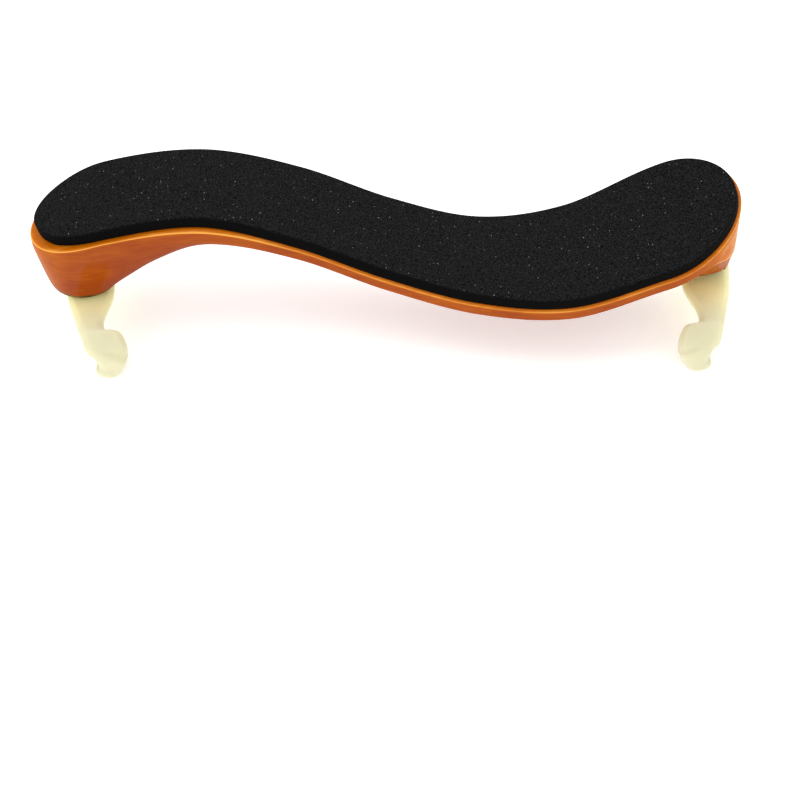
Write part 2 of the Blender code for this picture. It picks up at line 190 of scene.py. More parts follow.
# Tone added to the near flank's middle and lower edge by share of the keel's way,
# and to the upper edge of both flanks by share of the length
SWELL_TONE = ((0.15, 0.0), (0.4, 0.15))
# the ridge and brow lines are light lines of rubbed varnish and painted highlight
RIDGE_WEAR_AND_HIGHLIGHT = ((0.86, 0.0), (0.92, 0.5))
BROW_WEAR_AND_HIGHLIGHT = ((0.9, 0.0), (0.95, 0.3))

# Where points lie: across half the seat, down the rim, and across half the keel from its edge
SEAT_SHARES = (0.35, 0.7)
RIM_FALLS = (0.25, 0.6, 0.93)
KEEL_SHARES = (0.05, 0.25, 0.5, 0.75)

# How square the keel ends at the right, and the step over which the seat's slope is taken
KEEL_SQUARENESS = 8
SLOPE_STEP = 0.5

# Room round the metal, room over the studs in their bores, how far a cutter overshoots,
# and half the width of the step's cutter
CLEARANCE = 0.3
LEFT_BORE_ROOM = 1.6
RIGHT_BORE_ROOM = 4.0
OVERCUT = 2.0
STEP_REACH = 30.0

# Pad: points across half its underside and top, height of its drawn-in foot,
# and the spacing of its unevenness along and across, read at one level of the noise
PAD_UNDER_SHARES = (0.4, 0.8)
PAD_TOP_SHARES = (0.92, 0.8, 0.65, 0.5, 0.33, 0.17)
PAD_FOOT = 0.15
RIPPLE_ALONG = 14.0
RIPPLE_ACROSS = 9.0
RIPPLE_LEVEL = 3.7

# Leaf's section: most that the bevel takes of half the width, thickness at the bevel's two edges
BEVEL_LIMIT = 0.45
EDGE_THICKNESS = 0.4
BROW_THICKNESS = 0.94

# Gate mark under the leaf: height and width of its ring, of its middle and of the dish round them,
# how many ring radii and how far up the leaf it reaches, and how far down its faces and points look
GATE_RING = (0.16, 0.22)
GATE_MIDDLE = (0.14, 0.35)
GATE_DISH = (0.06, 0.12)
GATE_REACH = 2.6
GATE_SKIN = 1.0
FACE_DOWN = -0.7
POINT_DOWN = -0.5

# Moulding: depth under the skin from which the thickness is measured, solid wall round the stud's head,
# how much paler the hooks are as the core colour's painted light fades, rounds of evening out the colour and
# of easing the edges
SKIN_DEPTH = 0.05
HEAD_WALL = 1.0
CORE_LIGHT_FADE = 0.6
EVENING_ROUNDS = 6
EASING_ROUNDS = 14

# Threads: share of the pitch that is flat at root and crest, depth in a hole
THREAD_FLAT = 0.12
THREAD_DEPTH = 0.35

# Turned metal: broken edges, the stud's point, the insert's mouth and barbs,
# and how far a hole's cutter stays clear of its cones and overshoots
TURNED_EDGE = 0.2
STUD_POINT = 0.5
INSERT_MOUTH = 0.3
BARB_DEPTH = 0.4
BARB_PITCH = 2.0
BARB_POINT = 0.6
CUT_GAP = 0.05
CUT_OVERSHOOT = 1.0

# Softboxes in metres: place, width and height; both are aimed at the middle of the rest
TOP_SOFTBOX = ((-0.1, 0.25, 1.1), 1.2, 0.8)
FRONT_SOFTBOX = ((-0.7, -0.75, 0.6), 0.6, 0.6)
LIGHT_AIM = (0.0, 0.0, 0.02)

# How many steps the meshes take, how close points are welded in metres,
# and the angles in degrees over which an edge stays sharp
END_STEPS = 26
BOARD_STEPS = 150
ROUND_STEPS = 6
SIDE_STEPS = 4
CORNER_STEPS = 8
FLANK_STEPS = 20
TURN_STEPS = 64
THREAD_STEPS = 10
LEAF_STEPS = 36
FACE_STEPS = 8
BEVEL_STEPS = 4
HOOK_STEPS = 24
HOOK_AROUND = 48
WELD = 1e-6
SHARP_ANGLE = 32.0
SOFT_ANGLE = 50.0


def middle(node):
    """Centre of a node's box in millimetres."""
    low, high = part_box(node)
    return (low + high) / 2 / MM


def size(node):
    """Size of a node's box in millimetres."""
    low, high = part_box(node)
    return (high - low) / MM


def low_z(node):
    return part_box(node)[0].z / MM


def high_z(node):
    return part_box(node)[1].z / MM


# Places read from the frame
LEFT_STUD_X = middle("left_stud").x
RIGHT_STUD_X = middle("right_stud").x
FORK_TOP = high_z("left_fork")
STUD_TOP = high_z("left_stud")
BOSS_Z = low_z("left_insert")
INSERT_TOP = high_z("left_insert")
END_PLATE_X = [corner.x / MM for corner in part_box("end_plate")]
END_PLATE_Z = (low_z("end_plate"), high_z("end_plate"))
END_PLATE_WIDTH = size("end_plate").y
ROUND_PLATE_RADIUS = size("round_plate").y / 2
ROUND_PLATE_Z = (low_z("round_plate"), high_z("round_plate"))
GLUE_LINE = BOSS_Z - ROUND_PLATE_Z[1]


def linear(code):
    """Turn an sRGB hex colour into linear values."""
    parts = [int(code[k:k + 2], 16) / 255 for k in (1, 3, 5)]
    return tuple(c / 12.92 if c <= 0.04045 else ((c + 0.055) / 1.055) ** 2.4 for c in parts)


def colour(name, description, code):
    return FloatVectorProperty(
        name=name, description=description, subtype="COLOR", min=0, max=1, default=linear(code))


def length(name, description, default):
    return FloatProperty(
        name=name, description=description, unit="LENGTH", subtype="DISTANCE", precision=5, default=default)


def rotation(name, description, degrees):
    return FloatProperty(name=name, description=description, subtype="ANGLE", default=math.radians(degrees))


def amount(name, description, default, **kind):
    return FloatProperty(name=name, description=description, min=0, default=default, **kind)


def position(name, description, default):
    return FloatVectorProperty(
        name=name, description=description, subtype="TRANSLATION", unit="LENGTH", default=default)


class MapleBodyValues(bpy.types.PropertyGroup):
    """Sizes and colours of the maple body."""
    length: length("Length", "Tip to tip length of the board", 0.2325)
    left_round: length("Left end", "Rounding of the left end in plan", 0.021)
    right_round: length("Right end", "Rounding of the right end in plan", 0.023)
    far_bevel: length("Far bevel", "Bevel of the rim's far edge", 0.0007)
    plate_margin: length("Plate margin", "Room left round the metal plates", 0.0003)
    plate_lip: length("Plate lip", "Depth that the end plate is let in", 0.0008)
    block_lead: length("Block lead", "Flat keel before the end plate", 0.0023)
    boss_fade: length("Boss fade", "Length over which the left boss runs out into the keel", 0.04)
    lip_chamfer: length("Lip chamfer", "Chamfer on the step in front of the end plate", 0.0005)
    # the worn colour also serves the painted highlights and painted sheen on the edges and tips
    worn_colour: colour("Worn colour", "Varnish rubbed through on the rim's edge", "#EBA647")
    rim_colour: colour("Rim colour", "Golden varnish on the rim", "#C16602")
    side_colour: colour("Side colour", "Amber varnish on the flanks", "#923A02")
    keel_colour: colour("Keel colour", "Deep red-brown varnish under the keel", "#7A1602")
    bare_colour: colour("Bare maple", "Pale wood on the chamfer of the step", "#E8C088")
    grain_width: length("Grain width", "Spacing of the grain lines", 0.0008)
    grain_length: length("Grain length", "Length of one grain line", 0.04)
    knot_place: position("Knot", "Where the small knot shows under the body", (0.035, 0.004, 0.0))


class FoamPadValues(bpy.types.PropertyGroup):
    """Sizes and colours of the foam pad."""
    thickness: length("Thickness", "Thickness of the foam sheet", 0.0046)
    left_inset: length("Left inset", "Bare wood left at the left tip", 0.0026)
    right_inset: length("Right inset", "Bare wood left at the right tip", 0.001)
    edge_round: length("Edge rounding", "Rounding of the pad's top edge", 0.0006)
    crown: length("Crown", "Rise of the pad's middle", 0.00025)
    ripple: length("Ripple", "Height of the soft unevenness of the top", 0.00008)
    foam_colour: colour("Foam colour", "Black of the foam's top", "#242425")
    pore_colour: colour("Pore colour", "Black inside the open cells", "#040405")
    # the edge colour is painted shade on the pad's cut sides
    edge_colour: colour("Edge colour", "Black of the cut edge", "#050505")
    # the glint colour is a painted highlight on cell walls
    glint_colour: colour("Glint colour", "Cell walls that catch the light", "#9A9A96")
    cell: length("Cell size", "Size of the foam's cells", 0.00045)


class FootValues(bpy.types.PropertyGroup):
    """Sizes and colours of the moulded feet."""
    span: length("Span", "Distance between the two hooks", 0.058)
    thickness: length("Thickness", "Thickness of the leaf", 0.0044)
    bevel: length("Bevel", "Width of the bevel along the leaf's edges", 0.0018)
    hook_height: length("Hook height", "Height of a hook over its sole", 0.0097)
    hook_depth: length("Hook depth", "Depth of a hook along the fork", 0.01)
    hook_fall: length("Hook fall", "How far a hook's top slopes down to its inner side", 0.0018)
    hook_turn: rotation("Hook turn", "Turn of the hook blocks", 17)
    left_turn: rotation("Left turn", "How far the left foot is turned", 11)
    right_turn: rotation("Right turn", "How far the right foot is turned", 176)
    gate_ring: length("Gate ring", "Diameter of the gate mark under the leaf", 0.003)
    skin: length("Skin step", "Spacing of the moulded skin's mesh", 0.00025)
    edge_colour: colour("Edge colour", "Pale cream where the plastic is thin", "#C9C7AE")
    # the core colour is lighter and yellower than the plastic alone: partly painted light, for the warm light
    # in the body's shade
    core_and_painted_light_colour: colour("Core colour", "Yellower cream where it is thick", "#EEE7B2")


class MetalValues(bpy.types.PropertyGroup):
    """Sizes and colours of the plates, studs and insert."""
    shank: length("Shank", "Diameter over the stud's thread", 0.0048)
    root: length("Root", "Diameter at the thread's root", 0.0041)
    pitch: length("Pitch", "Pitch of the thread", 0.0008)
    head: length("Head", "Diameter of the stud's moulded-in head", 0.0086)
    head_thickness: length("Head thickness", "Thickness of that head", 0.0018)
    hole: length("Hole", "Inside diameter of the threaded holes", 0.0051)
    hole_pitch: length("Hole pitch", "Distance between the end plate's two holes", 0.0092)
    chamfer: length("Chamfer", "Chamfer on the plates' edges", 0.0003)
    corner: length("Corner", "Rounding of the end plate's corners", 0.001)
    flange: length("Flange", "Diameter of the insert's flange", 0.012)
    flange_thickness: length("Flange thickness", "Thickness of that flange", 0.0012)
    barrel: length("Barrel", "Diameter of the insert's barrel", 0.008)
    bronze_colour: colour("Bronze", "Dark patina of the plates", "#4E4028")
    worn_colour: colour("Worn bronze", "Brighter metal where the patina is rubbed", "#7E6C46")
    zinc_colour: colour("Zinc", "Zinc plating of the studs", "#C9CBCC")
    brass_colour: colour("Brass", "Turned brass of the insert", "#C9A24E")


class StageValues(bpy.types.PropertyGroup):
    """Floor, light and camera."""
    floor_size: length("Floor", "Half width of the floor", 3.0)
    floor_colour: colour("Floor colour", "Pale matte floor", "#F4F4F2")
    floor_rise: length("Floor rise", "How far the soles press into the floor", 0.0001)
    floor_glow: amount("Floor glow", "Light from within the floor, which thins shadows", 0.3)
    sky_colour: colour("Surround", "Colour of the light that comes from all round", "#FFFFFF")
    sky_strength: amount("Surround strength", "Strength of the surround", 1.0)
    top_power: amount("Top light", "Power of the softbox overhead", 6.0, unit="POWER")
    front_power: amount("Front light", "Power of the softbox at the front", 1.5, unit="POWER")
    lens: amount("Lens", "Focal length on a 36 mm sensor", 90.25, subtype="DISTANCE_CAMERA")
    camera_place: position("Camera", "Where the camera stands", (0.00468, -0.4770, 0.49561))
    camera_turn: FloatVectorProperty(
        name="Camera turn", description="Turn about the upright, tilt and roll", subtype="EULER",
        default=tuple(math.radians(a) for a in (0.124, 41.168, -0.958)))


class ShoulderRestValues(bpy.types.PropertyGroup):
    """Everything that a user may change."""
    body: PointerProperty(type=MapleBodyValues)
    pad: PointerProperty(type=FoamPadValues)
    foot: PointerProperty(type=FootValues)
    metal: PointerProperty(type=MetalValues)
    stage: PointerProperty(type=StageValues)


class Sizes:
    """A property group's lengths in millimetres."""

    def __init__(self, group):
        self.group = group

    def __getattr__(self, name):
        return getattr(self.group, name) / MM


# Curves and meshes

def smooth(table, x, column):
    """Read one column of a station table at x along a smooth curve through its stations."""
    last = len(table) - 1
    x = min(max(x, table[0][0]), table[last][0])
    i = 0
    while i < last - 1 and x > table[i + 1][0]:
        i += 1

    def slope(k):
        lo = max(k - 1, 0)
        hi = min(k + 1, last)
        return (table[hi][column] - table[lo][column]) / (table[hi][0] - table[lo][0])

    step = table[i + 1][0] - table[i][0]
    t = (x - table[i][0]) / step
    a = table[i][column]
    b = table[i + 1][column]
    return (
        a * (1 + 2 * t) * (1 - t) ** 2
        + b * t * t * (3 - 2 * t)
        + step * t * (1 - t) * (slope(i) * (1 - t) - slope(i + 1) * t)
    )


def plain(table, x, column=1):
    """Read one column of a station table at x along straight lines between its stations."""
    if x <= table[0][0]:
        return table[0][column]
    for low, high in zip(table, table[1:]):
        if x <= high[0]:
            t = (x - low[0]) / (high[0] - low[0])
            return low[column] + t * (high[column] - low[column])
    return table[-1][column]


def evened(pair, share):
    """Bring two values together as share goes to nothing."""
    mean = sum(pair) / 2
    return [mean + (value - mean) * share for value in pair]


def skin(rings, closed=False):
    """Points and faces over rings of equal size, capped at both ends unless the last ring meets the first."""
    count = len(rings[0])
    points = [p for ring in rings for p in ring]
    faces = []
    for r in range(len(rings) if closed else len(rings) - 1):
        a, b = r * count, (r + 1) % len(rings) * count
        faces += [(a + k, a + (k + 1) % count, b + (k + 1) % count, b + k) for k in range(count)]
    if not closed:
        faces.append(tuple(range(count)))
        faces.append(tuple(reversed(range(len(points) - count, len(points)))))
    return points, faces


def turned(profile, x=0.0):
    """Rings about an upright axis at x from (radius, z) pairs."""
    angles = [2 * math.pi * k / TURN_STEPS for k in range(TURN_STEPS)]
    return [[(x + r * math.cos(a), r * math.sin(a), z) for a in angles] for r, z in profile]


def threaded(low, high, root, crest, pitch, x):
    """Rings of a helical thread about an upright axis, running out at both ends."""
    rings = []
    count = round((high - low) / pitch * THREAD_STEPS)
    for step in range(count + 1):
        z = low + (high - low) * step / count
        run_out = min(1.0, (z - low) / pitch, (high - z) / pitch)
        ring = []
        for k in range(TURN_STEPS):
            a = 2 * math.pi * k / TURN_STEPS
            phase = (z / pitch - k / TURN_STEPS) % 1.0
            slant = (abs(phase - 0.5) * 2 - THREAD_FLAT) / (1 - 2 * THREAD_FLAT)
            r = root + (crest - root) * min(1.0, max(0.0, slant)) * run_out
            ring.append((x + r * math.cos(a), r * math.sin(a), z))
        rings.append(ring)
    return rings


def new_object(name, points, faces, *materials, sharp=SHARP_ANGLE, **notes):
    """Make a welded mesh object from points in millimetres; notes are values kept at each point."""
    mesh = bpy.data.meshes.new(name)
    mesh.from_pydata([Vector(p) * MM for p in points], [], faces)
    for note, kept in notes.items():
        mesh.attributes.new(note, "FLOAT", "POINT").data.foreach_set("value", kept)
    work = bmesh.new()
    work.from_mesh(mesh)
    bmesh.ops.remove_doubles(work, verts=work.verts, dist=WELD)
    bmesh.ops.recalc_face_normals(work, faces=work.faces)
    work.to_mesh(mesh)
    work.free()
    obj = bpy.data.objects.new(name, mesh)
    bpy.context.scene.collection.objects.link(obj)
    for material in materials:
        mesh.materials.append(material)
    soften(obj, sharp)
    return obj


def new_loft(name, sections, note, *materials, **settings):
    """Make an object over sections of points, each with a value to note; the ends close in themselves."""
    points, faces = skin([[p for p, _ in section] for section in sections])
    notes = {note: [value for section in sections for _, value in section]}
    return new_object(name, points, faces[:-2], *materials, **settings, **notes)


def soften(obj, sharp=SHARP_ANGLE):
    """Shade an object smooth, with its edges over an angle left sharp."""
    obj.data.shade_smooth()
    obj.data.set_sharp_from_angle(angle=math.radians(sharp))


def remove(obj):
    """Take an object and its mesh out of the file."""
    mesh = obj.data
    bpy.data.objects.remove(obj)
    bpy.data.meshes.remove(mesh)


def settle_modifiers(obj):
    """Turn an object's modifiers into its mesh."""
    seen = obj.evaluated_get(bpy.context.evaluated_depsgraph_get())
    mesh = bpy.data.meshes.new_from_object(seen)
    old = obj.data
    obj.modifiers.clear()
    obj.data = mesh
    bpy.data.meshes.remove(old)
    mesh.name = obj.name


def combine(obj, tools, operation="DIFFERENCE"):
    """Cut tools from an object or join them to it; the tools are used up."""
    for tool in tools:
        modifier = obj.modifiers.new(tool.name, "BOOLEAN")
        modifier.operation = operation
        modifier.solver = "EXACT"
        modifier.material_mode = "TRANSFER"
        modifier.object = tool
    settle_modifiers(obj)
    for tool in tools:
        remove(tool)


def drill(name, radius, low, high, x, *materials):
    """A round cutter about an upright axis at x."""
    return new_object(name, *skin(turned([(radius, low), (radius, high)], x)), *materials)


def keep(obj, body, slot, *nodes):
    """Set a finished piece in the frame."""
    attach(obj, body)
    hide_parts(*nodes)


# Materials

def per_mm(step):
    """Pattern scale that repeats over a step given in millimetres."""
    return 1 / (step * MM)


def in_use(sockets, name=None):
    """First of a node's sockets that is in use, or the first of them with a name."""
    return next(s for s in sockets if s.enabled and name in (None, s.name))


def feed(node, inputs):
    """Set a node's inputs, by name or number, to values or link them to sockets or other nodes."""
    for key, value in dict(inputs).items():
        socket = node.inputs[key] if isinstance(key, int) else in_use(node.inputs, key)
        if isinstance(value, bpy.types.Node):
            value = in_use(value.outputs)
        if isinstance(value, bpy.types.NodeSocket):
            node.id_data.links.new(value, socket)
        else:
            socket.default_value = (*value, 1.0) if socket.type == "RGBA" else value


def add_node(tree, kind, inputs=(), **settings):
    """Add a shader node with its settings and links."""
    made = tree.nodes.new("ShaderNode" + kind)
    for name, value in settings.items():
        setattr(made, name, value)
    feed(made, inputs)
    return made


def new_material(name, **values):
    """Make a material; values go straight on the shader's sockets."""
    material = bpy.data.materials.new(name)
    material.use_nodes = True
    shader = material.node_tree.nodes["Principled BSDF"]
    feed(shader, {socket.replace("_", " "): value for socket, value in values.items()})
    return material, material.node_tree, shader


def varnished_maple(values):
    """Maple under amber oil varnish, brushed on and rubbed.

    A clear gloss lies over fine lengthwise grain and a cloudy figure, golden where the varnish is thin. The
    lightest tones on the tips and along the edges are partly painted sheen and painted highlight.
    """
    material, tree, shader = new_material(
        "amber varnished maple", Roughness=0.4, IOR=1.5, Specular_IOR_Level=0.0,
        Coat_Weight=0.3, Coat_Roughness=0.05, Coat_IOR=1.5)
    sizes = Sizes(values)
    place = add_node(tree, "TexCoord").outputs["Object"]
    along, across = per_mm(sizes.grain_length), per_mm(sizes.grain_width)
    grain_place = add_node(tree, "Mapping", {"Vector": place, "Scale": (along, across, across)})
    grain = add_node(tree, "TexNoise", {
        "Vector": grain_place, "Scale": 1.0, "Detail": 5.0, "Roughness": 0.6})
    streaks = add_node(tree, "MapRange", {"Value": grain, "To Min": -0.12, "To Max": 0.12}, clamp=False)
    # the cloudy figure is about 26 mm long and 7 mm wide
    along, across = per_mm(26.0), per_mm(7.0)
    figure_place = add_node(tree, "Mapping", {"Vector": place, "Scale": (along, across, across)})
    figure = add_node(tree, "TexNoise", {
        "Vector": figure_place, "Scale": 1.0, "Detail": 3.0, "Distortion": 0.6})
    clouds = add_node(tree, "MapRange", {"Value": figure, "To Min": -0.14, "To Max": 0.14}, clamp=False)
    # a small knot shows under the body, a dark ring of 1.9 mm radius round a dark eye
    flat = add_node(tree, "VectorMath", {0: place, 1: (1.0, 1.0, 0.0)}, operation="MULTIPLY")
    reach = add_node(tree, "VectorMath", {0: flat, 1: values.knot_place}, operation="DISTANCE")
    eye = add_node(tree, "MapRange", {
        "Value": reach, "From Min": 0.4 * MM, "From Max": 0.9 * MM, "To Min": -0.3, "To Max": 0.0})
    ring = add_node(tree, "Math", {0: reach, 1: 1.9 * MM, 2: 0.2 * MM}, operation="COMPARE")
    knot = add_node(tree, "Math", {0: ring, 1: -0.2, 2: eye}, operation="MULTIPLY_ADD")
    figured = add_node(tree, "Math", {0: knot, 1: clouds}, operation="ADD")
    wood = add_node(tree, "Math", {0: streaks, 1: figured}, operation="ADD")
    tone = add_node(tree, "Attribute", attribute_name="tone").outputs["Fac"]
    shade = add_node(tree, "Math", {0: wood, 1: tone}, operation="ADD")
    ramp = add_node(tree, "ValToRGB", {"Fac": shade})
    # the worn stop also gives the painted highlights and painted sheen
    stops = (
        (0.0, values.keel_colour),
        (0.42, values.side_colour),
        (0.78, values.rim_colour),
        (1.0, values.worn_colour),
    )
    while len(ramp.color_ramp.elements) < len(stops):
        ramp.color_ramp.elements.new(0.5)
    for stop, (at, tint) in zip(ramp.color_ramp.elements, stops):
        stop.position = at
        stop.color = (*tint, 1.0)
    bump = add_node(tree, "Bump", {"Height": grain, "Strength": 0.08, "Distance": 0.05 * MM})
    feed(shader, {"Base Color": ramp, "Normal": bump})
    return material


def bare_maple(values):
    """Freshly cut maple: pale and matte, with a short darker grain."""
    material, tree, shader = new_material("bare maple", Roughness=0.6, IOR=1.5)
    place = add_node(tree, "TexCoord").outputs["Object"]
    # the cut shows short fibres, about 6 mm long and 0.5 mm wide
    along, across = per_mm(6.0), per_mm(0.5)
    grain_place = add_node(tree, "Mapping", {"Vector": place, "Scale": (along, across, across)})
    grain = add_node(tree, "TexNoise", {"Vector": grain_place, "Scale": 1.0, "Detail": 3.0})
    mixed = add_node(tree, "Mix", {
        "Factor": grain, "A": values.bare_colour, "B": values.side_colour}, data_type="RGBA")
    feed(shader, {"Base Color": mixed})
    return material


def black_foam(values):
    """Die-cut black EVA foam: matte and mottled with fine open cells, with painted glints where some walls
    catch the light.

    The cut edge is painted darker than the top, a painted shade on the pad's sides.
    """
    material, tree, shader = new_material(
        "black EVA foam", Roughness=0.9, IOR=1.45, Specular_IOR_Level=0.06)
    place = add_node(tree, "TexCoord").outputs["Object"]
    # the real cells are about 0.2 mm; they are drawn coarser so that they show in the render
    cells = add_node(tree, "TexNoise", {
        "Vector": place, "Scale": per_mm(Sizes(values).cell), "Detail": 2.0, "Roughness": 0.6})
    pores = add_node(tree, "MapRange", {"Value": cells, "From Min": 0.38, "From Max": 0.66})
    body = add_node(tree, "Mix", {
        "Factor": pores, "A": values.pore_colour, "B": values.foam_colour}, data_type="RGBA")
    # walls that may catch the light lie 1.2 mm apart, and few of them are bright; their glints are painted
    # highlights
    spots = add_node(tree, "TexVoronoi", {"Vector": place, "Scale": per_mm(1.2)})
    near = add_node(tree, "MapRange", {"Value": spots, "From Min": 0.16, "From Max": 0.08})
    chosen = add_node(tree, "SeparateColor", {"Color": spots.outputs["Color"]})
    rare = add_node(tree, "MapRange", {"Value": chosen, "From Min": 0.35, "From Max": 1.0})
    bright = add_node(tree, "Math", {0: rare, 1: 4.0}, operation="POWER")
    glint = add_node(tree, "Math", {0: near, 1: bright}, operation="MULTIPLY")
    mixed = add_node(tree, "Mix", {"Factor": glint, "A": body, "B": values.glint_colour}, data_type="RGBA")
    # painted shade: the cut sides take the darker edge colour
    cut = add_node(tree, "Attribute", attribute_name="cut").outputs["Fac"]
    with_shaded_sides = add_node(tree, "Mix", {"Factor": cut, "A": mixed, "B": values.edge_colour}, data_type="RGBA")
    bump = add_node(tree, "Bump", {"Height": cells, "Strength": 0.5, "Distance": 0.15 * MM})
    feed(shader, {"Base Color": with_shaded_sides, "Normal": bump})
    return material


def cream_plastic(values):
    """Moulded natural nylon: milky and slightly see-through, paler at thin edges, satin from the mould; its
    lighter yellow core near the stud is partly painted light.
    """
    material, tree, shader = new_material(
        "natural moulded nylon", Roughness=0.38, IOR=1.53, Specular_IOR_Level=0.4,
        Subsurface_Weight=0.8, Subsurface_Scale=5.0 * MM, Subsurface_Radius=(1.0, 0.95, 0.75))
    place = add_node(tree, "TexCoord").outputs["Object"]
    thick = add_node(tree, "Attribute", attribute_name="thick").outputs["Fac"]
    # the melt's clouding is about 4 mm wide; the mould's grit is finer than the 0.5 mm that it is drawn at
    cloud = add_node(tree, "TexNoise", {"Vector": place, "Scale": per_mm(4.0), "Detail": 2.0})
    depth = add_node(tree, "Math", {0: cloud, 1: 0.2, 2: thick}, operation="MULTIPLY_ADD")
    # the thick core near the stud takes the core colour, which is partly painted light
    core = add_node(tree, "MapRange", {"Value": depth, "From Min": 0.3, "From Max": 1.1})
    mixed = add_node(tree, "Mix", {
        "Factor": core, "A": values.edge_colour, "B": values.core_and_painted_light_colour}, data_type="RGBA")
    grit = add_node(tree, "TexNoise", {"Vector": place, "Scale": per_mm(0.5), "Detail": 2.0})
    bump = add_node(tree, "Bump", {"Height": grit, "Strength": 0.12, "Distance": 0.03 * MM})
    feed(shader, {"Base Color": mixed, "Normal": bump})
    return material


def patinated_bronze(values):
    """Stamped brass with an antique bronze patina: dark olive, cloudy, brighter where it is rubbed."""
    material, tree, shader = new_material("antique bronze", Metallic=1.0)
    place = add_node(tree, "TexCoord").outputs["Object"]
    # the patina's clouds are about 2.2 mm wide
    cloud = add_node(tree, "TexNoise", {
        "Vector": place, "Scale": per_mm(2.2), "Detail": 5.0, "Roughness": 0.65})
    rub = add_node(tree, "MapRange", {"Value": cloud, "From Min": 0.4, "From Max": 0.75})
    mixed = add_node(tree, "Mix", {
        "Factor": rub, "A": values.bronze_colour, "B": values.worn_colour}, data_type="RGBA")
    rough = add_node(tree, "MapRange", {"Value": cloud, "To Min": 0.5, "To Max": 0.3})
    bump = add_node(tree, "Bump", {"Height": cloud, "Strength": 0.1, "Distance": 0.03 * MM})
    feed(shader, {"Base Color": mixed, "Roughness": rough, "Normal": bump})
    return material


def turned_metal(name, tint):
    """Turned and plated metal: bright, with faint tool rings and a little clouding."""
    material, tree, shader = new_material(name, Metallic=1.0)
    place = add_node(tree, "TexCoord").outputs["Object"]
    # the tool leaves a ring every 0.12 mm, and the clouding is 3 mm wide
    across, along = per_mm(3.0), per_mm(0.12)
    rings_place = add_node(tree, "Mapping", {"Vector": place, "Scale": (across, across, along)})
    rings = add_node(tree, "TexNoise", {"Vector": rings_place, "Scale": 1.0, "Detail": 2.0})
    dulled = [0.7 * c for c in tint]
    mixed = add_node(tree, "Mix", {"Factor": rings, "A": tint, "B": dulled}, data_type="RGBA")
    rough = add_node(tree, "MapRange", {"Value": rings, "To Min": 0.25, "To Max": 0.42})
    feed(shader, {"Base Color": mixed, "Roughness": rough})
    return material


# Shape of the board and its pad

